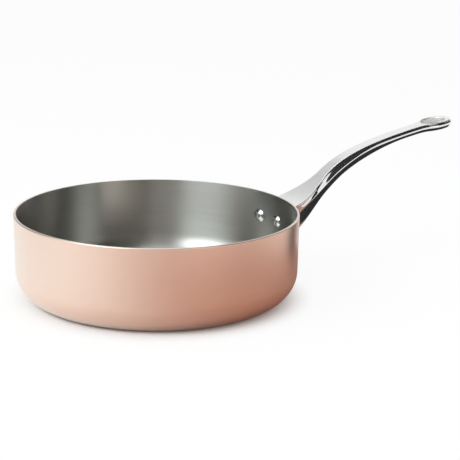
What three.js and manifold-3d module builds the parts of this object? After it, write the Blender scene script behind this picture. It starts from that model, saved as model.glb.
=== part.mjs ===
// A straight-sided copper pan with a bonded steel lining and a cast steel handle held by two rivets.
// Millimetres, +Z up. The origin is the centre of the base, on the stove, and the handle runs out along +X.

import * as THREE from "three";
import { mergeVertices } from "three/addons/utils/BufferGeometryUtils.js";
import Module from "manifold-3d";

// Pan body
const RIM_RADIUS = 120;
const PAN_HEIGHT = 73.5;
const CORNER_RADIUS = 25;
const DRAFT_DEGREES = 0.9;
const COPPER_THICKNESS = 1.7;
const LINING_THICKNESS = 0.3;
const BOND_GAP = 0.05;
const PAN_SEGMENTS = 72;
const CORNER_STEPS = 4;

// Rivets, set below the rim, one on each side of the handle's neck
const RIVET_DROP = 22;
const RIVET_SPACING = 25.2;
const SHANK_RADIUS = 3;
const SHANK_CLEARANCE = 0.3;
const HEAD_RADIUS = 6;
const HEAD_HEIGHT = 2.6;
const TAIL_RADIUS = 5;
const TAIL_HEIGHT = 2.2;
const SEAT_GAP = 0.3;
const RIVET_SEGMENTS = 24;
const DOME_STEPS = 3;

// Handle plate, the curved foot of the casting that lies against the wall round the rivets
const PLATE_ABOVE_RIVETS = 10;
const PLATE_BELOW_RIVETS = 25;
const PLATE_SIDE_MARGIN = 4.4;
const PLATE_THICKNESS = 4.5;
const PLATE_CORNER = 9;
const PLATE_CORNER_STEPS = 6;
const WALL_CLEARANCE = 0.3;
const TAIL_CLEARANCE = 0.6;

// Handle bar: its top line rises from the plate over a shoulder and levels out towards the tip
const HANDLE_REACH = 206.5;
const SHOULDER_REACH = 55;
const SHOULDER_RISE = 22.6;
const SHOULDER_SLOPE = 38.3;
const TIP_RISE = 61.35;
const TIP_SLOPE = 6.5;
const NECK_PULL = 16.8;
const SHOULDER_PULL = 24;
const GRIP_PULL = 21;
const TIP_PULL = 115;

// Handle sections: a flat top, hollow flanks down to a ridge along each side, and a keel that narrows below it
const NECK_WIDTH = 36;
const GRIP_WIDTH = 13;
const RIDGE_WIDTH = 16;
const FOOT_WIDTH = 9;
const ROOT_RIDGE_DEPTH = 15.6;
const NECK_RIDGE_DEPTH = 6.1;
const GRIP_RIDGE_DEPTH = 2;
const NECK_RIDGE_HEIGHT = 0.6;
const GRIP_RIDGE_HEIGHT = 1.6;
const FLANK_HOLLOW = 0.5;
const HOLLOW_END = 58;
const HOLLOW_FADE = 22;
const EDGE_CHAMFER = 0.7;
const NECK_DEPTH = 14.7;
const GRIP_DEPTH = 7.5;
const FLARE_START = 13.4;
const FLARE_LENGTH = 57.3;
const ROOT_LENGTH = 59.5;
const TAPER_LENGTH = 105.5;
const WEB_END = 9;
const WEB_FADE = 15;
const RIDGE_START = 76;
const RIDGE_FADE = 56;
const FACE_START = 96;
const FACE_FADE = 40;
const SECTION_PITCH = 6;

// Eye at the handle's tip, with its hanging hole
const HOLE_LENGTH = 24.5;
const HOLE_WIDTH = 20.5;
const HOLE_END_WALL = 5.5;
const HOLE_STEPS = 14;
const EYE_LIMB = 2.25;
const EYE_DEPTH = 6.8;
const EYE_SHOULDER = 7;
const TIP_SQUARENESS = 2.6;
const TIP_STEPS = 8;

// Corners closer than this are one corner
const MERGE_DISTANCE = 1e-4;

// Places and sizes that follow from these
const { degToRad, lerp, radToDeg, smoothstep } = THREE.MathUtils;
const wallDraft = degToRad(DRAFT_DEGREES);
const liningDepth = COPPER_THICKNESS + BOND_GAP;
const wallThickness = liningDepth + LINING_THICKNESS;
const rivetHeight = PAN_HEIGHT - RIVET_DROP;
const plateTop = rivetHeight + PLATE_ABOVE_RIVETS;
const plateHeight = PLATE_ABOVE_RIVETS + PLATE_BELOW_RIVETS;
const plateWidth = RIVET_SPACING + 2 * (TAIL_RADIUS + PLATE_SIDE_MARGIN);
const webDepth = PLATE_ABOVE_RIVETS - TAIL_RADIUS - TAIL_CLEARANCE;
const rootKeelWidth = RIVET_SPACING - 2 * (TAIL_RADIUS + TAIL_CLEARANCE);
const eyeWidth = HOLE_WIDTH + 2 * EYE_LIMB;
const eyeReach = HOLE_END_WALL + HOLE_LENGTH / 2;

const wasm = await Module();
wasm.setup();

// A closed geometry as a solid: shared corners merged, and the slivers on a lathe's axis dropped
function solidFrom(geometry) {
  const bare = geometry.clone();
  bare.deleteAttribute("normal");
  bare.deleteAttribute("uv");
  const merged = mergeVertices(bare, MERGE_DISTANCE);
  const corners = merged.index.array;
  const triangles = [];
  for (let i = 0; i < corners.length; i += 3) {
    const [a, b, c] = corners.slice(i, i + 3);
    if (a !== b && b !== c && c !== a) {
      triangles.push(a, b, c);
    }
  }
  const vertProperties = new Float32Array(merged.attributes.position.array);
  const triVerts = new Uint32Array(triangles);
  return new wasm.Manifold(new wasm.Mesh({ numProp: 3, vertProperties, triVerts }));
}

function geometryFrom(solid) {
  const mesh = solid.getMesh();
  const geometry = new THREE.BufferGeometry();
  geometry.setAttribute("position", new THREE.BufferAttribute(mesh.vertProperties, 3));
  geometry.setIndex(new THREE.BufferAttribute(mesh.triVerts, 1));
  geometry.computeVertexNormals();
  return geometry;
}

function meshOf(name, solid, material) {
  const mesh = new THREE.Mesh(geometryFrom(solid), material);
  mesh.name = name;
  return mesh;
}

// Pan body: a surface at a depth below the outer skin, from the axis to the rim
function wallRadius(height, depth) {
  return RIM_RADIUS - depth / Math.cos(wallDraft) - (PAN_HEIGHT - height) * Math.tan(wallDraft);
}

function panSurface(depth) {
  const turn = CORNER_RADIUS - depth;
  const cornerTop = CORNER_RADIUS - turn * Math.sin(wallDraft);
  const cornerCentre = wallRadius(cornerTop, depth) - turn * Math.cos(wallDraft);
  const path = new THREE.Path();
  path.moveTo(0, depth);
  path.lineTo(cornerCentre, depth);
  path.absarc(cornerCentre, CORNER_RADIUS, turn, -Math.PI / 2, -wallDraft, false);
  path.lineTo(wallRadius(PAN_HEIGHT, depth), PAN_HEIGHT);
  return path.getPoints(CORNER_STEPS);
}

function turned(profile, segments) {
  return solidFrom(new THREE.LatheGeometry(profile, segments).rotateX(Math.PI / 2));
}

function panLayer(outerDepth, innerDepth) {
  const profile = [...panSurface(outerDepth), ...panSurface(innerDepth).reverse()];
  return turned(profile, PAN_SEGMENTS);
}

// Everything within a distance outside the pan's wall, from below the plate to above it
function wallBody(distance) {
  const low = plateTop - 2 * plateHeight;
  const high = plateTop + plateHeight;
  const profile = [
    new THREE.Vector2(0, low),
    new THREE.Vector2(wallRadius(low, -distance), low),
    new THREE.Vector2(wallRadius(high, -distance), high),
    new THREE.Vector2(0, high),
  ];
  return turned(profile, PAN_SEGMENTS);
}

// Rivets: turned about their own axis, inner head first, then set square to the wall
const rivetAngle = Math.asin(RIVET_SPACING / 2 / wallRadius(rivetHeight, wallThickness));
const innerWall = wallRadius(rivetHeight, wallThickness);
const headSeat = Math.sqrt(innerWall ** 2 - HEAD_RADIUS ** 2) - SEAT_GAP;
const tailSeat = wallRadius(rivetHeight, -WALL_CLEARANCE - PLATE_THICKNESS) + SEAT_GAP;

function domePoints(radius, height) {
  const reach = (radius ** 2 + height ** 2) / (2 * height);
  const half = Math.asin(radius / reach);
  const points = [];
  for (let i = 0; i <= DOME_STEPS; i++) {
    const angle = half * (1 - i / DOME_STEPS);
    points.push(new THREE.Vector2(reach * Math.sin(angle), height - reach * (1 - Math.cos(angle))));
  }
  return points;
}

function setAtWall(solid, angle) {
  return solid.rotate([0, 90, radToDeg(angle)]).translate([0, 0, rivetHeight]);
}

function rivet(angle) {
  const head = domePoints(HEAD_RADIUS, HEAD_HEIGHT).map((p) => new THREE.Vector2(p.x, headSeat - p.y));
  const tail = domePoints(TAIL_RADIUS, TAIL_HEIGHT).map((p) => new THREE.Vector2(p.x, tailSeat + p.y));
  const shank = [new THREE.Vector2(SHANK_RADIUS, headSeat), new THREE.Vector2(SHANK_RADIUS, tailSeat)];
  const profile = [...head.reverse(), ...shank, ...tail];
  return setAtWall(turned(profile, RIVET_SEGMENTS), angle);
}

function rivetHole(angle) {
  const radius = SHANK_RADIUS + SHANK_CLEARANCE;
  const profile = [
    new THREE.Vector2(0, headSeat - HEAD_HEIGHT),
    new THREE.Vector2(radius, headSeat - HEAD_HEIGHT),
    new THREE.Vector2(radius, tailSeat + TAIL_HEIGHT),
    new THREE.Vector2(0, tailSeat + TAIL_HEIGHT),
  ];
  return setAtWall(turned(profile, RIVET_SEGMENTS), angle);
}

const rivetHoles = rivetHole(-rivetAngle).add(rivetHole(rivetAngle));

// Handle bar: its top line in the XZ plane, as two curves that meet at the shoulder
const wallFoot = wallRadius(plateTop, 0);
const root = new THREE.Vector2(Math.sqrt(wallFoot ** 2 - (plateWidth / 2) ** 2), plateTop);
const shoulder = new THREE.Vector2(wallFoot + SHOULDER_REACH, plateTop + SHOULDER_RISE);
const tip = new THREE.Vector2(wallFoot + HANDLE_REACH, plateTop + TIP_RISE);

function along(point, slope, distance) {
  const angle = degToRad(slope);
  return new THREE.Vector2(point.x + distance * Math.cos(angle), point.y + distance * Math.sin(angle));
}

const topLine = new THREE.CurvePath();
topLine.add(new THREE.CubicBezierCurve(
  root, along(root, 0, NECK_PULL), along(shoulder, SHOULDER_SLOPE, -SHOULDER_PULL), shoulder));
topLine.add(new THREE.CubicBezierCurve(
  shoulder, along(shoulder, SHOULDER_SLOPE, GRIP_PULL), along(tip, TIP_SLOPE, -TIP_PULL), tip));
const barLength = topLine.getLength();

// Share of the full width left at a distance from the wall: 1 along the bar, 0 at the very tip
function tipRound(distance) {
  const past = Math.max(0, distance - barLength + eyeReach) / eyeReach;
  return Math.max(0, 1 - past ** TIP_SQUARENESS) ** (1 / TIP_SQUARENESS);
}

// Half of a section, from the edge of the top face round to the foot of the keel, as (across, down).
// Next to the wall the flank is cut back to a thin web, clear of the rivet's tail.
function halfSection(distance) {
  const flare = 1 - smoothstep(distance, FLARE_START, FLARE_START + FLARE_LENGTH);
  const rootShare = 1 - smoothstep(distance, 0, ROOT_LENGTH);
  const webShare = 1 - smoothstep(distance, WEB_END, WEB_END + WEB_FADE);
  const gripShare = smoothstep(distance, RIDGE_START, RIDGE_START + RIDGE_FADE);
  const faceShare = smoothstep(distance, FACE_START, FACE_START + FACE_FADE);
  const hollowShare = 1 - smoothstep(distance, HOLLOW_END, HOLLOW_END + HOLLOW_FADE);
  const taper = smoothstep(distance, ROOT_LENGTH, ROOT_LENGTH + TAPER_LENGTH);
  const eyeCentre = barLength - eyeReach;
  const eyeShare = smoothstep(distance, eyeCentre - HOLE_LENGTH / 2 - EYE_SHOULDER, eyeCentre);
  const eyeGain = (eyeWidth - GRIP_WIDTH) * eyeShare;
  const round = tipRound(distance);
  const top = round * (lerp(GRIP_WIDTH, NECK_WIDTH, flare) + eyeGain) / 2;
  const ridge = round * (lerp(RIDGE_WIDTH, rootKeelWidth, rootShare) + eyeGain) / 2;
  const foot = round * (lerp(FOOT_WIDTH, GRIP_WIDTH, eyeShare) + eyeGain) / 2;
  const barDepth = lerp(lerp(NECK_DEPTH, GRIP_DEPTH, taper), EYE_DEPTH, eyeShare);
  const depth = lerp(barDepth, plateHeight, rootShare);
  const ridgeDepth = lerp(lerp(NECK_RIDGE_DEPTH, GRIP_RIDGE_DEPTH, gripShare), ROOT_RIDGE_DEPTH, rootShare);
  const ridgeFoot = ridgeDepth + lerp(NECK_RIDGE_HEIGHT, GRIP_RIDGE_HEIGHT, faceShare);
  const flank = lerp((top + ridge) / 2 - round * hollowShare * FLANK_HOLLOW, rootKeelWidth / 2, webShare);
  const flankDepth = lerp(ridgeDepth / 2, webDepth, webShare);
  const chamfer = round * EDGE_CHAMFER;
  return [
    new THREE.Vector2(top - chamfer, 0),
    new THREE.Vector2(top, EDGE_CHAMFER),
    new THREE.Vector2(flank, flankDepth),
    new THREE.Vector2(ridge, ridgeDepth),
    new THREE.Vector2(ridge, ridgeFoot),
    new THREE.Vector2(foot, depth - EDGE_CHAMFER),
    new THREE.Vector2(foot - chamfer, depth),
  ];
}

function fullSection(distance) {
  const half = halfSection(distance);
  const mirrored = half.map((p) => new THREE.Vector2(-p.x, p.y)).reverse();
  return [...half, ...mirrored];
}

function placeSection(section, distance) {
  const share = distance / barLength;
  const top = topLine.getPoint(share);
  const run = topLine.getTangent(share);
  return section.map((p) => new THREE.Vector3(top.x + run.y * p.y, p.x, top.y - run.x * p.y));
}

// A closed skin through like sections, capped at both ends
function loft(sections, distances) {
  const count = sections[0].length;
  const positions = [];
  sections.forEach((section, i) => {
    placeSection(section, distances[i]).forEach((p) => positions.push(p.x, p.y, p.z));
  });
  const faces = [];
  for (let i = 0; i + 1 < sections.length; i++) {
    for (let j = 0; j < count; j++) {
      const a = i * count + j;
      const b = i * count + (j + 1) % count;
      faces.push(a, a + count, b, b, a + count, b + count);
    }
  }
  const last = (sections.length - 1) * count;
  THREE.ShapeUtils.triangulateShape(sections[0], []).forEach(([a, b, c]) => faces.push(a, b, c));
  THREE.ShapeUtils.triangulateShape(sections.at(-1), []).forEach(([a, b, c]) => {
    faces.push(last + a, last + c, last + b);
  });
  const geometry = new THREE.BufferGeometry();
  geometry.setAttribute("position", new THREE.Float32BufferAttribute(positions, 3));
  geometry.setIndex(faces);
  return geometry;
}

function handleBar() {
  const eyeCentre = barLength - eyeReach;
  const steps = Math.ceil(eyeCentre / SECTION_PITCH);
  const distances = [];
  for (let i = 0; i < steps; i++) {
    distances.push(eyeCentre * i / steps);
  }
  for (let i = 0; i < TIP_STEPS; i++) {
    distances.push(eyeCentre + eyeReach * Math.sin(Math.PI / 2 * i / TIP_STEPS));
  }
  return solidFrom(loft(distances.map(fullSection), distances));
}

// Handle plate: a rounded outline pressed through the space just outside the wall
function handlePlate() {
  const low = plateTop - plateHeight;
  const side = plateWidth / 2 - PLATE_CORNER;
  const outline = new THREE.Shape();
  outline.absarc(-side, low + PLATE_CORNER, PLATE_CORNER, Math.PI, 1.5 * Math.PI, false);
  outline.absarc(side, low + PLATE_CORNER, PLATE_CORNER, 1.5 * Math.PI, 2 * Math.PI, false);
  outline.absarc(side, plateTop - PLATE_CORNER, PLATE_CORNER, 0, 0.5 * Math.PI, false);
  outline.absarc(-side, plateTop - PLATE_CORNER, PLATE_CORNER, 0.5 * Math.PI, Math.PI, false);
  const depth = RIM_RADIUS + plateWidth;
  const block = new THREE.ExtrudeGeometry(
    outline, { depth, bevelEnabled: false, curveSegments: PLATE_CORNER_STEPS });
  block.rotateX(Math.PI / 2).rotateZ(Math.PI / 2);
  return solidFrom(block).intersect(wallBody(WALL_CLEARANCE + PLATE_THICKNESS));
}

// Hanging hole: an oval cut square to the eye's top face
function hangingHole() {
  const share = 1 - eyeReach / barLength;
  const top = topLine.getPoint(share);
  const run = topLine.getTangent(share);
  const oval = new THREE.Shape();
  oval.absellipse(0, 0, HOLE_LENGTH / 2, HOLE_WIDTH / 2, 0, 2 * Math.PI, false);
  const depth = 4 * EYE_DEPTH;
  const cut = new THREE.ExtrudeGeometry(oval, { depth, bevelEnabled: false, curveSegments: HOLE_STEPS });
  cut.translate(0, 0, -depth / 2).rotateY(-Math.atan2(run.y, run.x)).translate(top.x, 0, top.y);
  return solidFrom(cut);
}

function handle() {
  return handleBar()
    .add(handlePlate())
    .subtract(wallBody(WALL_CLEARANCE))
    .subtract(rivetHoles)
    .subtract(hangingHole());
}

const copper = new THREE.MeshStandardMaterial({ color: 0xc8927a, roughness: 0.38, metalness: 1 });
const brushedSteel = new THREE.MeshStandardMaterial({ color: 0xb4b4b0, roughness: 0.32, metalness: 1 });
const polishedSteel = new THREE.MeshStandardMaterial({ color: 0xc9c9c7, roughness: 0.16, metalness: 1 });
const rivetSteel = new THREE.MeshStandardMaterial({ color: 0xc2c2be, roughness: 0.2, metalness: 1 });

const pan = new THREE.Group();
pan.add(meshOf("copper_shell", panLayer(0, COPPER_THICKNESS).subtract(rivetHoles), copper));
pan.add(meshOf("steel_lining", panLayer(liningDepth, wallThickness).subtract(rivetHoles), brushedSteel));
pan.add(meshOf("handle", handle(), polishedSteel));
pan.add(meshOf("rivet_left", rivet(-rivetAngle), rivetSteel));
pan.add(meshOf("rivet_right", rivet(rivetAngle), rivetSteel));

export default pan;
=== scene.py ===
import math

import bmesh
import bpy
from mathutils import Matrix, Vector
from mathutils.geometry import interpolate_bezier


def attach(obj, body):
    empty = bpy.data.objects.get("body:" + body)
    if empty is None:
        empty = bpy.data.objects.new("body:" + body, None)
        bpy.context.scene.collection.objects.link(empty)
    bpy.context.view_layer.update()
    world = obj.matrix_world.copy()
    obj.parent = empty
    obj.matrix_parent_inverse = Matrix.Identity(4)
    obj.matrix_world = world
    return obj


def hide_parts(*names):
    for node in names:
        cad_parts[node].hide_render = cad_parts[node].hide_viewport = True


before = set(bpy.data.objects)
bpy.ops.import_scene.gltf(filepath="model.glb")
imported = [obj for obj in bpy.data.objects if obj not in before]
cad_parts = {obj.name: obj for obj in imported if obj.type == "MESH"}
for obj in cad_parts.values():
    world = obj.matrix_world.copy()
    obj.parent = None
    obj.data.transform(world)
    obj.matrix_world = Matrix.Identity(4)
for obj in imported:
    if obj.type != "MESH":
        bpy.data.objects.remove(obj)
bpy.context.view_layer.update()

# Copper body: one disc of 1.7 mm copper sheet, drawn into a straight-sided pan with a rounded corner.
# It is brushed on the lathe, so fine satin lines run round it. The cut rim is eased, and a painted
# highlight runs along its top as a paler colour.
mm = 0.001
rim_radius = 120 * mm
pan_height = 73.5 * mm
corner_radius = 25 * mm
wall_draft = math.radians(0.9)
copper_thickness = 1.7 * mm
copper_rim_easing = 0.7 * mm
copper_inner_easing = 0.1 * mm
holding_loop = 1.5 * mm
pan_facets = 288
corner_facets = 18
easing_facets = 5
weld = 0.001 * mm


def wall_radius(height, depth):
    """Radius of the wall at a height, on the surface that lies this deep below its outer skin."""
    return rim_radius - depth / math.cos(wall_draft) - (pan_height - height) * math.tan(wall_draft)


def draw_to(profile, end, x, z):
    """Carries a profile on from its end in a straight line, and gives the new end."""
    point = bmesh.ops.extrude_vert_indiv(profile, verts=[end])["verts"][0]
    point.co = (x, 0, z)
    return point


def draw_round(profile, end, x, z, angle, steps):
    """Carries a profile on from its end in an arc about a point, and gives the new end."""
    swept = bmesh.ops.spin(
        profile, geom=[end], cent=(x, 0, z), axis=(0, -1, 0), angle=angle, steps=steps)
    return next(v for v in swept["geom_last"] if isinstance(v, bmesh.types.BMVert))


def turn_on_lathe(profile, facets):
    """Turns a drawn profile about the Z axis into a closed skin that faces outwards."""
    drawn = profile.verts[:] + profile.edges[:]
    bmesh.ops.spin(profile, geom=drawn, axis=(0, 0, 1), angle=2 * math.pi, steps=facets, use_merge=True)
    bmesh.ops.remove_doubles(profile, verts=profile.verts[:], dist=weld)
    bmesh.ops.recalc_face_normals(profile, faces=profile.faces[:])


def pan_layer(outer, inner, outer_easing, inner_easing):
    """One layer of the pan's sheet between two depths below the outer skin, with an eased rim."""
    layer = bmesh.new()
    end = layer.verts.new((0, 0, outer))
    bend = corner_radius - outer
    top = corner_radius - bend * math.sin(wall_draft)
    centre = wall_radius(top, outer) - bend * math.cos(wall_draft)
    end = draw_to(layer, end, centre - holding_loop, outer)
    end = draw_to(layer, end, centre, outer)
    end = draw_round(layer, end, centre, corner_radius, math.pi / 2 - wall_draft, corner_facets)
    end = draw_to(layer, end, wall_radius(top + holding_loop, outer), top + holding_loop)
    low = pan_height - outer_easing
    end = draw_to(layer, end, wall_radius(low - outer_easing, outer), low - outer_easing)
    edge = wall_radius(low, outer)
    end = draw_to(layer, end, edge, low)
    end = draw_round(layer, end, edge - outer_easing, low, math.pi / 2, easing_facets)
    low = pan_height - inner_easing
    edge = wall_radius(low, inner)
    end = draw_to(layer, end, edge + inner_easing, pan_height)
    end = draw_round(layer, end, edge + inner_easing, low, math.pi / 2, easing_facets)
    bend = corner_radius - inner
    top = corner_radius - bend * math.sin(wall_draft)
    centre = wall_radius(top, inner) - bend * math.cos(wall_draft)
    end = draw_to(layer, end, wall_radius(low - inner_easing, inner), low - inner_easing)
    end = draw_to(layer, end, wall_radius(top + holding_loop, inner), top + holding_loop)
    end = draw_to(layer, end, wall_radius(top, inner), top)
    end = draw_round(layer, end, centre, corner_radius, wall_draft - math.pi / 2, corner_facets)
    end = draw_to(layer, end, centre - holding_loop, inner)
    draw_to(layer, end, 0, inner)
    turn_on_lathe(layer, pan_facets)
    return layer


class Wire:
    """An output in a tree of shader nodes, so that shader maths reads as an expression."""

    def __init__(self, socket):
        self.socket = socket

    @classmethod
    def node(cls, tree, kind, settings=None, sockets=None, output=0):
        """Adds a node, with its settings first and then its sockets' values or links."""
        made = tree.nodes.new(kind)
        for name, value in (settings or {}).items():
            setattr(made, name, value)
        for name, value in (sockets or {}).items():
            if isinstance(value, cls):
                tree.links.new(value.socket, made.inputs[name])
            else:
                made.inputs[name].default_value = value
        return cls(made.outputs[output])

    def math(self, operation, first, second):
        tree = self.socket.id_data
        return Wire.node(tree, "ShaderNodeMath", {"operation": operation}, {0: first, 1: second})

    def __add__(self, other):
        return self.math("ADD", self, other)

    def __radd__(self, other):
        return self.math("ADD", other, self)

    def __sub__(self, other):
        return self.math("SUBTRACT", self, other)

    def __rsub__(self, other):
        return self.math("SUBTRACT", other, self)

    def __mul__(self, other):
        return self.math("MULTIPLY", self, other)

    def __rmul__(self, other):
        return self.math("MULTIPLY", other, self)


def blank_finish(name):
    """A new material with nothing but its shader and output, as its tree and its shader's sockets."""
    finish = bpy.data.materials.new(name)
    finish.use_nodes = True
    shader = finish.node_tree.nodes["Principled BSDF"]
    return finish, finish.node_tree, shader.inputs


def object_place(tree):
    """Where a point of a piece is, in metres from the middle of the pan's base."""
    return Wire.node(tree, "ShaderNodeTexCoord", output="Object")


def height_above_base(tree):
    """How high a point of a piece is above the table."""
    return Wire.node(tree, "ShaderNodeSeparateXYZ", sockets={0: object_place(tree)}, output="Z")


def vector_math(tree, operation, first, second=(0, 0, 0), output="Vector"):
    """One step of vector maths, on one vector or on two."""
    sockets = {0: first, 1: second}
    return Wire.node(tree, "ShaderNodeVectorMath", {"operation": operation}, sockets, output)


def smooth_rise(tree, value, start, end, most=1.0):
    """A smooth rise from 0 to its most, as a value goes from a start to an end."""
    return Wire.node(tree, "ShaderNodeMapRange", {"interpolation_type": "SMOOTHSTEP"},
                     {"Value": value, "From Min": start, "From Max": end, "To Max": most})


def lathe_lines(tree, line_width, line_length, detail):
    """Fine lines from 0 to 1, long round the pan's axis and thin across it, as brushing leaves them."""
    flat = vector_math(tree, "MULTIPLY", object_place(tree), (1, 1, 0))
    radius = vector_math(tree, "LENGTH", flat, output="Value")
    heading = vector_math(tree, "NORMALIZE", flat)
    around = vector_math(tree, "MULTIPLY", heading, [rim_radius / line_length] * 3)
    across = (radius + height_above_base(tree)) * (1 / line_width)
    rise = Wire.node(tree, "ShaderNodeCombineXYZ", sockets={"Z": across})
    spot = vector_math(tree, "ADD", around, rise)
    return Wire.node(tree, "ShaderNodeTexNoise",
                     sockets={"Vector": spot, "Scale": 1.0, "Detail": detail})


def cloudy_patches(tree, size):
    """Soft patches from 0 to 1, as handling and polishing leave them."""
    return Wire.node(tree, "ShaderNodeTexNoise",
                     sockets={"Vector": object_place(tree), "Scale": 1 / size, "Detail": 3.0})


def mixed_colour(tree, share, first, second):
    """A colour between two, by a share from 0 to 1."""
    return Wire.node(tree, "ShaderNodeMix", {"data_type": "RGBA"}, {0: share, 6: first, 7: second}, 2)


def plug(tree, inputs, name, wire):
    """Joins a wire to a named socket."""
    tree.links.new(wire.socket, inputs[name])


def raise_pattern(tree, inputs, pattern, strength):
    """Lets a pattern stand out of a surface by a hair, as brush lines and a polisher's ripples do."""
    relief = Wire.node(tree, "ShaderNodeBump",
                       sockets={"Strength": strength, "Distance": relief_depth, "Height": pattern})
    plug(tree, inputs, "Normal", relief)


def make_piece(name, shape, finish, sharp_angle):
    """Puts a finished shape into the scene as one smooth-shaded piece of the pan."""
    mesh = bpy.data.meshes.new(name)
    shape.to_mesh(mesh)
    shape.free()
    mesh.shade_smooth()
    mesh.set_sharp_from_angle(angle=math.radians(sharp_angle))
    mesh.materials.append(finish)
    piece = bpy.data.objects.new(name, mesh)
    bpy.context.scene.collection.objects.link(piece)
    return piece


copper_light = (0.81, 0.56, 0.455, 1)
copper_deep = (0.76, 0.505, 0.40, 1)
# rim_painted_highlight is a paler copper: a painted highlight where the eased rim catches the light.
rim_painted_highlight = (0.74, 0.63, 0.55, 1)
rim_highlight_start, rim_highlight_end = pan_height - 0.7 * mm, pan_height - 0.2 * mm
relief_depth = 0.05 * mm

copper_finish, tree, inputs = blank_finish("satin_copper")
fine = lathe_lines(tree, line_width=0.35 * mm, line_length=30 * mm, detail=3.0)
broad = lathe_lines(tree, line_width=4 * mm, line_length=160 * mm, detail=2.0)
patches = cloudy_patches(tree, size=60 * mm)
brushed = mixed_colour(tree, fine * 0.4 + broad * 0.3 + patches * 0.3, copper_deep, copper_light)
# Painted highlight: the base colour turns paler along the top of the rim.
rim_highlight_share = smooth_rise(tree, height_above_base(tree), rim_highlight_start, rim_highlight_end)
plug(tree, inputs, "Base Color", mixed_colour(tree, rim_highlight_share, brushed, rim_painted_highlight))
plug(tree, inputs, "Roughness", 0.24 + fine * 0.08 + patches * 0.06)
raise_pattern(tree, inputs, fine, strength=0.06)
inputs["Metallic"].default_value = 1.0
inputs["Anisotropic"].default_value = 0.25
inputs["Anisotropic Rotation"].default_value = 0.25

copper_shape = pan_layer(0, copper_thickness, copper_rim_easing, copper_inner_easing)
copper_body = make_piece("copper_body", copper_shape, copper_finish, sharp_angle=40)
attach(copper_body, "root")
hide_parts("copper_shell")

# Steel lining: a 0.3 mm skin of stainless steel, bonded to the inside of the copper from floor to rim.
# It was brushed on the same lathe, so its lines run round the wall and in rings over the floor.
bond_gap = 0.05 * mm
lining_thickness = 0.3 * mm
lining_easing = 0.1 * mm
lining_light = (0.57, 0.555, 0.525, 1)
lining_deep = (0.44, 0.43, 0.405, 1)

lining_finish, tree, inputs = blank_finish("brushed_lining")
fine = lathe_lines(tree, line_width=0.3 * mm, line_length=25 * mm, detail=3.0)
broad = lathe_lines(tree, line_width=3 * mm, line_length=120 * mm, detail=2.0)
plug(tree, inputs, "Base Color", mixed_colour(tree, fine * 0.6 + broad * 0.4, lining_deep, lining_light))
plug(tree, inputs, "Roughness", 0.26 + fine * 0.10)
raise_pattern(tree, inputs, fine, strength=0.06)
inputs["Metallic"].default_value = 1.0
inputs["Anisotropic"].default_value = 0.94
inputs["Anisotropic Rotation"].default_value = 0.25

lining_depth = copper_thickness + bond_gap
wall_thickness = lining_depth + lining_thickness
lining_shape = pan_layer(lining_depth, wall_thickness, lining_easing, lining_easing)
lining = make_piece("lining", lining_shape, lining_finish, sharp_angle=40)
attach(lining, "root")
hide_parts("steel_lining")

# Handle: one stainless steel casting, with a curved plate that lies on the wall and a bar that rises
# over a shoulder to a flat eye with a hanging hole. Its top is satin, its sides are polished, and the
# inside of the hole is left matt.
rivet_height = pan_height - 22 * mm
rivet_spacing = 25.2 * mm
plate_top = rivet_height + 10 * mm
plate_height = 35 * mm
plate_half = 22 * mm
plate_corner = 9 * mm
plate_thickness = 4.5 * mm
plate_easing = 0.8 * mm
wall_clearance = 0.3 * mm
shoulder_reach = 55 * mm
shoulder_rise = 22.6 * mm
shoulder_slope = math.radians(38.3)
handle_reach = 206.1 * mm
tip_rise = 61.3 * mm
tip_slope = math.radians(6.5)
neck_pull, shoulder_pull, grip_pull, tip_pull = 16.8 * mm, 24 * mm, 21 * mm, 115 * mm
neck_width, grip_width = 36 * mm, 13 * mm
root_keel, ridge_width, foot_width = 14 * mm, 16 * mm, 9 * mm
root_ridge, neck_ridge, grip_ridge = 15.6 * mm, 6.1 * mm, 2 * mm
neck_ridge_height, grip_ridge_height = 0.6 * mm, 1.6 * mm
ridge_start, ridge_end = 76 * mm, 132 * mm
face_start, face_end = 96 * mm, 136 * mm
flank_hollow = 0.5 * mm
hollow_start, hollow_end = 58 * mm, 80 * mm
web_depth, web_start, web_end = 4.4 * mm, 9 * mm, 24 * mm
edge_easing = 0.6 * mm
neck_depth, grip_depth, eye_depth = 14.7 * mm, 7.5 * mm, 6.8 * mm
flare_start, flare_end = 13.4 * mm, 70.7 * mm
root_length, taper_end = 59.5 * mm, 165 * mm
hole_length, hole_width, hole_end_wall = 24.5 * mm, 20.5 * mm, 5.5 * mm
eye_width = hole_width + 4.5 * mm
eye_reach = hole_end_wall + hole_length / 2
eye_shoulder = 7 * mm
tip_squareness = 2.6
crown_share, ridge_share, sole_share = 0.45, 0.85, 0.6
face_margin, side_shares = 2.5, (0.12, 0.4, 0.7)
upper_angles, lower_angles = (8, 28, 48, 68, 88), (8, 32, 58, 82)
top_shares, straight_shares = (0, 0.25, 0.5, 0.8), (0.2, 0.4, 0.6, 0.8)
bow_start, bow_end = 5 * mm, 35 * mm
blend_share, fillet_share, fillet_reach, bar_reach = 0.25, 0.06, 2 * mm, 5 * mm
line_points, station_pitch = 300, 6 * mm
hole_angles, tip_angles = range(-90, 91, 15), (18, 36, 54, 72, 90)
hole_columns, face_columns = (0, 17), 5
hole_satin, face_satin = 2.4, 1.0
rounding_levels = 2

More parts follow.
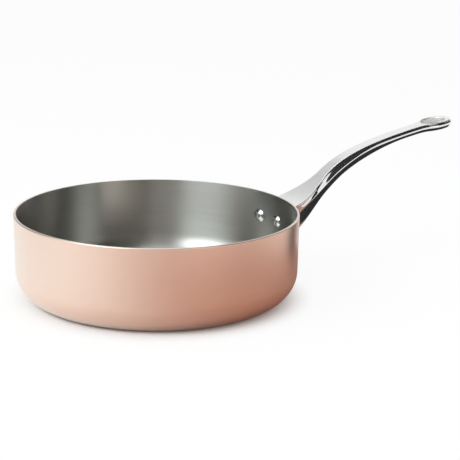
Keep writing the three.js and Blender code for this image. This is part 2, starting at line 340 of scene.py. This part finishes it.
wall_foot = wall_radius(plate_top, 0)
line_root = Vector((math.sqrt(wall_foot ** 2 - plate_half ** 2), plate_top))
line_shoulder = Vector((wall_foot + shoulder_reach, plate_top + shoulder_rise))
line_tip = Vector((wall_foot + handle_reach, plate_top + tip_rise))
up_shoulder = Vector((math.cos(shoulder_slope), math.sin(shoulder_slope)))
out_tip = Vector((math.cos(tip_slope), math.sin(tip_slope)))
top_line = interpolate_bezier(
    line_root, line_root + Vector((neck_pull, 0)),
    line_shoulder - up_shoulder * shoulder_pull, line_shoulder, line_points)
top_line += interpolate_bezier(
    line_shoulder, line_shoulder + up_shoulder * grip_pull,
    line_tip - out_tip * tip_pull, line_tip, line_points)[1:]
line_lengths = [0.0]
for here, there in zip(top_line, top_line[1:]):
    line_lengths.append(line_lengths[-1] + (there - here).length)
bar_length = line_lengths[-1]
eye_centre = bar_length - eye_reach


def ease(value, start, end):
    """A smooth step from 0 at the start to 1 at the end."""
    share = min(1.0, max(0.0, (value - start) / (end - start)))
    return share * share * (3 - 2 * share)


def between(first, second, share):
    """A size between two, by a share from 0 to 1."""
    return first + (second - first) * share


def hole_half_width(distance):
    """Half of the hanging hole's width at a distance along the bar, and 0 outside it."""
    share = (distance - eye_centre) / (hole_length / 2)
    return hole_width / 2 * math.sqrt(max(0.0, 1 - share ** 2))


def bar_section(distance):
    """Half of the bar's section as (across, down), from its top's middle round to its foot's middle."""
    flare = 1 - ease(distance, flare_start, flare_end)
    root_share = 1 - ease(distance, 0, root_length)
    web_share = 1 - ease(distance, web_start, web_end)
    grip_share = ease(distance, ridge_start, ridge_end)
    eye_share = ease(distance, eye_centre - hole_length / 2 - eye_shoulder, eye_centre)
    eye_gain = (eye_width - grip_width) * eye_share
    past = min(1.0, max(0.0, distance - eye_centre) / eye_reach)
    tip_round = (1 - past ** tip_squareness) ** (1 / tip_squareness)
    top = tip_round * (between(grip_width, neck_width, flare) + eye_gain) / 2
    rib = tip_round * (between(ridge_width, root_keel, root_share) + eye_gain) / 2
    foot = tip_round * (between(foot_width, grip_width, eye_share) + eye_gain) / 2
    bar_depth = between(neck_depth, grip_depth, ease(distance, root_length, taper_end))
    depth = between(between(bar_depth, eye_depth, eye_share), plate_height, root_share)
    rib_depth = between(between(neck_ridge, grip_ridge, grip_share), root_ridge, root_share)
    rib_height = between(neck_ridge_height, grip_ridge_height, ease(distance, face_start, face_end))
    hollow = tip_round * flank_hollow * (1 - ease(distance, hollow_start, hollow_end))
    easing = tip_round * edge_easing
    edge = Vector((top, edge_easing))
    web = Vector((root_keel / 2, web_depth))
    flank = Vector(((top + rib) / 2 - hollow, rib_depth / 2)).lerp(web, web_share)
    ridge = Vector((rib, rib_depth))
    ridge_foot = Vector((rib, rib_depth + rib_height))
    sole = Vector((foot, depth - edge_easing))
    hole = hole_half_width(distance)
    lip = edge_easing if hole > 0 or abs(abs(distance - eye_centre) - hole_length / 2) < weld else 0.0
    rim = min(hole + lip, top - easing)
    sole_rim = max(hole + lip, foot - easing)
    return [
        Vector((hole, lip)),
        Vector((rim, 0)),
        Vector((between(rim, top, crown_share), 0)),
        Vector((max(rim, top - face_margin * easing), 0)),
        Vector((top - easing, 0)),
        edge,
        edge.lerp(flank, 0.5),
        flank,
        flank.lerp(ridge, ridge_share),
        ridge,
        ridge_foot,
        *[ridge_foot.lerp(sole, share) for share in side_shares],
        sole,
        Vector((sole_rim, depth)),
        Vector((between(sole_rim, hole + lip, sole_share), depth)),
        Vector((hole, depth - lip)),
    ]


def plate_outline(inset):
    """Half of the plate's rounded outline, point for point with the bar's section."""
    half, height, corner = plate_half - inset, plate_height - 2 * inset, plate_corner - inset
    side = half - corner
    upper = [Vector((side + corner * math.sin(a), corner - corner * math.cos(a)))
             for a in map(math.radians, upper_angles)]
    lower = [Vector((side + corner * math.cos(a), height - corner + corner * math.sin(a)))
             for a in map(math.radians, lower_angles)]
    straight = [Vector((half, corner + (height - 2 * corner) * s)) for s in straight_shares]
    outline = [Vector((side * s, 0)) for s in top_shares] + upper + straight + lower
    outline.append(Vector((0, height)))
    return [p + Vector((0, inset)) for p in outline]


def on_wall(section, stand_off):
    """A section's places when it lies on the pan's wall, this far off it."""
    places = []
    for across, down in section:
        height = plate_top - down
        radius = wall_radius(height, -stand_off)
        places.append(Vector((math.sqrt(radius ** 2 - across ** 2), across, height)))
    return places


def on_bar(section, distance):
    """A section's places when it stands square to the top line, with the wall's curve near the wall."""
    i = next(k for k, length in enumerate(line_lengths) if length >= distance - weld)
    i = min(max(i, 1), len(top_line) - 1)
    span = line_lengths[i] - line_lengths[i - 1]
    start = top_line[i - 1].lerp(top_line[i], (distance - line_lengths[i - 1]) / span)
    run = (top_line[i] - top_line[i - 1]).normalized()
    curve = 1 - ease(distance, bow_start, bow_end)
    places = []
    for across, down in section:
        bow = (wall_foot - math.sqrt(wall_foot ** 2 - across ** 2)) * curve
        places.append(Vector((start.x + run.y * down - bow, across, start.y - run.x * down)))
    return places


def lay_row(skin, row, places):
    """Draws a skin on from its last row of vertices to the places of the next row."""
    edges = [skin.edges.get(pair) for pair in zip(row, row[1:])]
    made = set(bmesh.ops.extrude_edge_only(skin, edges=edges)["geom"])
    fresh = [next(e.other_vert(v) for e in v.link_edges if e.other_vert(v) in made) for v in row]
    for vertex, place in zip(fresh, places):
        vertex.co = place
    return fresh


back, front = wall_clearance, wall_clearance + plate_thickness
root_gap = wall_foot - line_root.x
eased = plate_outline(plate_easing)
blend = [a.lerp(b, blend_share) for a, b in zip(bar_section(root_gap + front), eased)]
fillet = [a.lerp(b, fillet_share) for a, b in zip(bar_section(root_gap + front + fillet_reach), eased)]
plate_rows = [
    on_wall([Vector((0, p.y)) for p in plate_outline(0)], back),
    on_wall([Vector((p.x / 2, p.y)) for p in eased], back),
    on_wall(eased, back),
    on_wall(plate_outline(0), back + plate_easing),
    on_wall(plate_outline(0), front - plate_easing),
    on_wall(eased, front),
    on_wall(plate_outline(2 * plate_easing), front),
    on_wall(blend, front),
    on_wall(fillet, front + fillet_reach),
]
bar_start = root_gap + front + bar_reach
hole_start = eye_centre - hole_length / 2
steps = math.ceil((hole_start - bar_start) / station_pitch)
stations = [between(bar_start, hole_start, i / steps) for i in range(steps)]
stations += [eye_centre + hole_length / 2 * math.sin(math.radians(a)) for a in hole_angles]
stations += [bar_length - hole_end_wall * (1 - math.sin(math.radians(a))) for a in tip_angles]
rows = plate_rows + [on_bar(bar_section(distance), distance) for distance in stations]

casting = bmesh.new()
satin = casting.verts.layers.float.new("satin")
row = [casting.verts.new(place) for place in rows[0]]
for here, there in zip(row, row[1:]):
    casting.edges.new((here, there))
for number, places in enumerate(rows[1:], 1):
    row = lay_row(casting, row, places)
    station = stations[number - len(plate_rows)] if number >= len(plate_rows) else 0.0
    for column, vertex in enumerate(row):
        if column in hole_columns and hole_half_width(station) > 0:
            vertex[satin] = hole_satin
        elif column < face_columns and station > 0:
            vertex[satin] = face_satin
        else:
            vertex[satin] = 0.0
whole = casting.verts[:] + casting.edges[:] + casting.faces[:]
bmesh.ops.mirror(casting, geom=whole, axis="Y", merge_dist=weld)
bmesh.ops.remove_doubles(casting, verts=casting.verts[:], dist=weld)
bmesh.ops.dissolve_degenerate(casting, edges=casting.edges[:], dist=weld)
bmesh.ops.bridge_loops(casting, edges=[e for e in casting.edges if e.is_boundary])
bmesh.ops.recalc_face_normals(casting, faces=casting.faces[:])

handle_light = (0.88, 0.88, 0.87, 1)
handle_deep = (0.81, 0.81, 0.80, 1)
grain_stretch = (60, 2500, 60)

handle_finish, tree, inputs = blank_finish("polished_casting")
patches = cloudy_patches(tree, size=18 * mm)
stretched = vector_math(tree, "MULTIPLY", object_place(tree), grain_stretch)
grain = Wire.node(tree, "ShaderNodeTexNoise", sockets={"Vector": stretched, "Scale": 1.0, "Detail": 2.0})
worn = patches * 0.6 + grain * 0.4
plug(tree, inputs, "Base Color", mixed_colour(tree, worn, handle_deep, handle_light))
top_face = Wire.node(tree, "ShaderNodeAttribute", {"attribute_name": "satin"}, output="Fac")
plug(tree, inputs, "Roughness", 0.09 + patches * 0.03 + top_face * (0.2 + grain * 0.1))
raise_pattern(tree, inputs, patches, strength=0.03)
inputs["Metallic"].default_value = 1.0

handle = make_piece("cast_handle", casting, handle_finish, sharp_angle=60)
rounding = handle.modifiers.new("rounding", "SUBSURF")
rounding.levels = rounding.render_levels = rounding_levels
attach(handle, "root")
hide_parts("handle")

# Rivets: two stainless steel rivets, driven from inside through the wall and the handle's plate.
# Their low domed heads are polished, and the smaller tails are closed over the plate outside.
head_radius, head_height = 6 * mm, 2.6 * mm
tail_radius, tail_height = 5 * mm, 2.2 * mm
shank_radius = 3 * mm
seat_gap = 0.3 * mm
rivet_facets = 64
dome_facets = 10
rivet_light = (0.80, 0.80, 0.79, 1)
rivet_deep = (0.70, 0.70, 0.69, 1)
inner_wall = wall_radius(rivet_height, wall_thickness)
head_seat = math.sqrt(inner_wall ** 2 - head_radius ** 2) - seat_gap
tail_seat = wall_radius(rivet_height, -wall_clearance - plate_thickness) + seat_gap
rivet_angle = math.asin(rivet_spacing / 2 / inner_wall)


def dome_bend(radius, height):
    """The radius of a dome's curve, and the angle from its crown to its edge."""
    bend = (radius ** 2 + height ** 2) / (2 * height)
    return bend, math.asin(radius / bend)


def rivet_shape(angle):
    """A rivet, turned head first about its axis, and set square to the wall at an angle round the pan."""
    shape = bmesh.new()
    bend, swing = dome_bend(head_radius, head_height)
    end = shape.verts.new((0, 0, head_seat - head_height))
    end = draw_round(shape, end, 0, head_seat - head_height + bend, swing, dome_facets)
    end = draw_to(shape, end, shank_radius, head_seat)
    end = draw_to(shape, end, shank_radius, tail_seat)
    end = draw_to(shape, end, tail_radius, tail_seat)
    bend, swing = dome_bend(tail_radius, tail_height)
    draw_round(shape, end, 0, tail_seat + tail_height - bend, swing, dome_facets)
    turn_on_lathe(shape, rivet_facets)
    turn = Matrix.Rotation(angle, 3, "Z") @ Matrix.Rotation(math.pi / 2, 3, "Y")
    bmesh.ops.rotate(shape, verts=shape.verts[:], cent=(0, 0, 0), matrix=turn)
    bmesh.ops.translate(shape, verts=shape.verts[:], vec=(0, 0, rivet_height))
    return shape


rivet_finish, tree, inputs = blank_finish("polished_rivet")
patches = cloudy_patches(tree, size=5 * mm)
plug(tree, inputs, "Base Color", mixed_colour(tree, patches, rivet_deep, rivet_light))
plug(tree, inputs, "Roughness", 0.12 + patches * 0.08)
inputs["Metallic"].default_value = 1.0

for side, node, angle in (("near", "rivet_left", -rivet_angle), ("far", "rivet_right", rivet_angle)):
    rivet = make_piece("rivet_" + side, rivet_shape(angle), rivet_finish, sharp_angle=35)
    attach(rivet, "root")
    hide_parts(node)

# Camera: a long lens on a stand a little above the rim, aimed between the pan's middle and the eye.
# The handle points to the right and away from it.
handle_swing = math.radians(32.8)
view_height = math.radians(14.08)
view_distance = 1.348
aim_yaw, aim_pitch, aim_roll = math.radians(2.61), math.radians(0.67), math.radians(-0.18)
picture_width, focal_pixels = 460, 1600
lens = bpy.data.cameras.new("camera")
lens.sensor_width = 36
lens.lens = lens.sensor_width * focal_pixels / picture_width
camera = bpy.data.objects.new("camera", lens)
bpy.context.scene.collection.objects.link(camera)
turned = Matrix.Rotation(-handle_swing, 3, "Z")
aim = turned @ Matrix.Rotation(math.pi / 2 - view_height, 3, "X") @ Matrix.Rotation(-aim_yaw, 3, "Y")
aim = aim @ Matrix.Rotation(-aim_pitch, 3, "X") @ Matrix.Rotation(-aim_roll, 3, "Z")
stand = Vector((0, -math.cos(view_height), math.sin(view_height))) * view_distance
stand = turned @ stand + Vector((0, 0, pan_height))
camera.matrix_world = Matrix.Translation(stand) @ aim.to_4x4()
bpy.context.scene.camera = camera

# Floor: a round white table top in a plain white room. It shows white away from the pan, in the picture
# and in the metal's reflections, and keeps the soft shadow at the pan's foot.
table_radius, table_facets = 3.0, 96
table_white, table_roughness = (0.92, 0.92, 0.92, 1), 0.9
table_drop = 0.05 * mm
most_glow = 0.9
shadow_reach, white_reach = 0.098, 0.135
mirror_reach, mirror_white = 0.115, 0.30
room_light = 0.75


def seen_and_mirrored(tree):
    """Whether a ray comes from the camera, and whether it comes by way of metal or glass, as 0 or 1."""
    seen = Wire.node(tree, "ShaderNodeLightPath", output="Is Camera Ray")
    rays = seen.socket.node.outputs
    return seen, Wire(rays["Is Glossy Ray"]) + Wire(rays["Is Transmission Ray"])


table_finish, tree, inputs = blank_finish("white_table")
inputs["Base Color"].default_value = table_white
inputs["Roughness"].default_value = table_roughness
away = vector_math(tree, "LENGTH", object_place(tree), output="Value")
seen, mirrored = seen_and_mirrored(tree)
whiteness = seen * smooth_rise(tree, away, shadow_reach, white_reach, most_glow)
whiteness = whiteness + mirrored * smooth_rise(tree, away, mirror_reach, mirror_white, most_glow)
glow = Wire.node(tree, "ShaderNodeEmission", sockets={"Color": (1, 1, 1, 1), "Strength": 1.0})
paint = Wire(tree.nodes["Principled BSDF"].outputs[0])
table_top = Wire.node(tree, "ShaderNodeMixShader", sockets={0: whiteness, 1: paint, 2: glow})
plug(tree, tree.nodes["Material Output"].inputs, "Surface", table_top)

table_shape = bmesh.new()
bmesh.ops.create_circle(table_shape, cap_ends=True, radius=table_radius, segments=table_facets)
table = make_piece("table", table_shape, table_finish, sharp_angle=30)
table.location.z = -table_drop

room = bpy.data.worlds.new("room")
room.use_nodes = True
bpy.context.scene.world = room
tree = room.node_tree
inputs = tree.nodes["Background"].inputs
seen, mirrored = seen_and_mirrored(tree)
plug(tree, inputs, "Strength", room_light + (seen + mirrored) * (1 - room_light))
inputs["Color"].default_value = (1, 1, 1, 1)

# Screens and mats: plain cards that stand round the table, hang over it or lie on it, as in a studio.
# They give the metal dark, grey and warm things to mirror, and show only in its reflections. The dark
# disc under the pan is painted shade that deepens the contact shadow the metal mirrors.
# Their places are as the camera sees them: X to the right, Y away from it.
black, slate, dusk = (0.03, 0.03, 0.032), (0.01, 0.05, 0.06), (0.15, 0.135, 0.115)
pale_grey, bright_grey = (0.52, 0.50, 0.47), (0.76, 0.76, 0.76)
# Place and fade of the dark disc under the pan: a painted contact shadow for the reflections.
shadow_disc_centre = (-0.004, 0, 0)
shadow_disc_core, shadow_disc_edge = 0.084, 0.108
# shaded_warm_near is a touch darker than warm_far: a faint painted contact shade near the pan.
shaded_warm_near, warm_far = (0.555, 0.365, 0.30, 1), (0.55, 0.37, 0.31, 1)
near_reach, far_reach = 0.14, 0.34
warm_left, warm_right = -1.15, 0.75
warm_core, warm_edge = 0.33, 0.40


def show_card(name, tone, start, end, sweep):
    """A flat card, swept from one straight edge; gives its tree and its shader's sockets."""
    shape = bmesh.new()
    edge = shape.edges.new([shape.verts.new(turned @ Vector(place)) for place in (start, end)])
    swept = bmesh.ops.extrude_edge_only(shape, edges=[edge])["geom"]
    fresh = [v for v in swept if isinstance(v, bmesh.types.BMVert)]
    bmesh.ops.translate(shape, verts=fresh, vec=turned @ Vector(sweep))
    finish, tree, inputs = blank_finish(name)
    inputs["Base Color"].default_value = (*tone, 1)
    inputs["Roughness"].default_value = 1.0
    inputs["Specular IOR Level"].default_value = 0.0
    card = make_piece(name, shape, finish, sharp_angle=30)
    card.visible_camera = card.visible_diffuse = card.visible_shadow = False
    return tree, inputs


show_card("right_screen", black, (1.0, -0.18, 0.10), (1.0, 0.9, 0.10), (0, 0, 2.4))
show_card("back_screen", slate, (-0.56, 1.18, 0.05), (-1.0, 0.836, 0.05), (0, 0, 0.72))
show_card("left_screen", slate, (-1.0, 0.836, 0.05), (-1.295, 0.11, 0.05), (0, 0, 1.55))
show_card("upper_screen", black, (1.0, -0.18, 0.14), (1.72, -1.9, 0.14), (0, 0, 2.36))
show_card("front_left_screen", pale_grey, (-0.9, -1.9, 0.02), (0.2, -1.9, 0.02), (0, 0, 2.6))
show_card("front_screen", dusk, (0.2, -1.9, 0.02), (1.15, -1.9, 0.02), (0, 0, 2.6))
show_card("side_screen", dusk, (1.15, -1.9, 0.42), (1.72, -1.9, 0.42), (0, 0, 2.2))
show_card("ceiling", black, (0.5, -1.9, 2.5), (0.5, 1.5, 2.5), (2.5, 0, 0))
show_card("back_ceiling", bright_grey, (-3.2, 1.5, 2.5), (-3.2, 4.8, 2.5), (2.6, 0, 0))
show_card("grip_mat", black, (0.200, 0.062, 0.0004), (0.275, 0.062, 0.0004), (0.095, 0.30, 0))
show_card("eye_mat", black, (0.296, 0.138, 0.0004), (0.400, 0.138, 0.0004), (0.045, 0.17, 0))

# A dark disc under the pan, seen only in reflections: painted shade that deepens the mirrored contact
# shadow at the pan's foot.
tree, inputs = show_card("painted_contact_shadow", black, (-0.12, -0.12, 0.0003), (0.18, -0.12, 0.0003), (0, 0.24, 0))
off_centre = vector_math(tree, "DISTANCE", object_place(tree), turned @ Vector(shadow_disc_centre), "Value")
plug(tree, inputs, "Alpha", 1 - smooth_rise(tree, off_centre, shadow_disc_core, shadow_disc_edge))

tree, inputs = show_card(
    "warm_mat", black, (-0.30, -0.42, 0.0002), (0.42, -0.42, 0.0002), (-0.18, 0.56, 0))
away = vector_math(tree, "LENGTH", object_place(tree), output="Value")
heading = vector_math(tree, "NORMALIZE", object_place(tree))
rightness = vector_math(tree, "DOT_PRODUCT", heading, turned @ Vector((1, 0, 0)), "Value")
# The mat's colour goes from a touch darker near the pan to its far tone: a faint painted contact shade
# that the metal mirrors.
contact_shade_share = smooth_rise(tree, away, near_reach, far_reach)
plug(tree, inputs, "Base Color", mixed_colour(tree, contact_shade_share, shaded_warm_near, warm_far))
on_right = smooth_rise(tree, rightness, warm_left, warm_right)
plug(tree, inputs, "Alpha", on_right * (1 - smooth_rise(tree, away, warm_core, warm_edge)))

# Lamps: a large cool lamp on the front left, a smaller one overhead, a cool light table at the left of
# the pan and a low warm lamp on the front right. Each is brightest at its heart and fades out from there.
pan_middle = (0, 0, 0.04)
lamp_centre, lamp_right_end = (0.5, 0.5, 0), (1.0, 0.5, 0)
full_share = 0.3
cool, plain, blue, warm = (0.86, 0.97, 1.0), (1, 1, 1), (0.35, 0.82, 0.98), (1.0, 0.93, 0.84)


def soft_lamp(name, place, aim, size, power, colour, heart=lamp_centre, reach=0.5):
    """A lamp that fades out from its heart, with its place and its aim as the camera sees them."""
    light = bpy.data.lights.new(name, "AREA")
    light.shape = "RECTANGLE"
    light.size, light.size_y = size
    light.energy = power
    light.color = colour
    light.use_nodes = True
    tree = light.node_tree
    spot = Wire.node(tree, "ShaderNodeNewGeometry", output="Parametric")
    off_heart = vector_math(tree, "DISTANCE", spot, heart, "Value")
    fading = 1 - smooth_rise(tree, off_heart, full_share * reach, reach)
    plug(tree, tree.nodes["Emission"].inputs, "Strength", fading)
    lamp = bpy.data.objects.new(name, light)
    bpy.context.scene.collection.objects.link(lamp)
    lamp.location = turned @ Vector(place)
    lamp.rotation_euler = (turned @ (Vector(place) - Vector(aim))).to_track_quat("Z", "Y").to_euler()
    lamp.visible_camera = False


soft_lamp("left_lamp", (-0.98, -0.83, 0.95), pan_middle, (2.0, 1.1), 39, cool)
soft_lamp("top_lamp", (0.1, 0.2, 1.4), pan_middle, (1.2, 1.2), 5, plain)
soft_lamp("light_table", (-0.38, -0.03, 0.001), (-0.38, -0.03, 1.0), (1.0, 1.0), 1.45, blue)
soft_lamp("right_lamp", (0.56, -1.125, 0.262), pan_middle, (1.05, 0.22), 3.1, warm, lamp_right_end, 1.0)

bpy.context.scene.view_settings.view_transform = "Standard"
